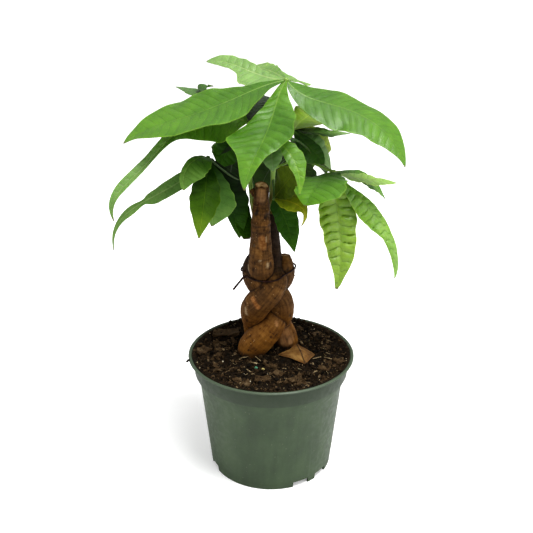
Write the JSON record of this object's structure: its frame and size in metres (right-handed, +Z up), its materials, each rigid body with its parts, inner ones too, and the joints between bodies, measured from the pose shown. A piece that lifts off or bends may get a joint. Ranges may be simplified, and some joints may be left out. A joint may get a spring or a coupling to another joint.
{
  "type": "potted money tree",
  "caption": "Young money tree with a braided trunk and palmate leaves, growing in a round tapered grower's pot filled with potting mix.",
  "frame": {"origin": "centre of the pot's base, on the surface it stands on", "axes": "+Z up along the pot's axis, -Y to the front, +X to the right seen from the front"},
  "size_m": [0.2413, 0.177, 0.3715],
  "materials": {
    "pot_plastic": "satin",
    "potting_mix": "matte",
    "bark": "matte",
    "tie": "satin",
    "green_stem": "satin",
    "leaf": "satin",
    "leaf_old": "satin",
    "leaf_dry": "matte"
  },
  "bodies": {
    "root": {"pot": "pot_plastic", "soil": "potting_mix", "stem_front": "bark", "stem_right": "bark", "stem_left": "bark", "stem_short": "bark", "tie_wire": "tie", "shoot_right": "green_stem", "shoot_left": "green_stem", "leaf_top": "leaf", "leaf_left_high": "leaf", "leaf_left_low": "leaf", "leaf_right_low": "leaf", "leaf_right_high": "leaf", "leaf_centre": "leaf", "leaf_low": "leaf_old", "leaf_back_left": "leaf", "leaf_back_right": "leaf", "fallen_leaf": "leaf_dry"}
  },
  "joints": []
}
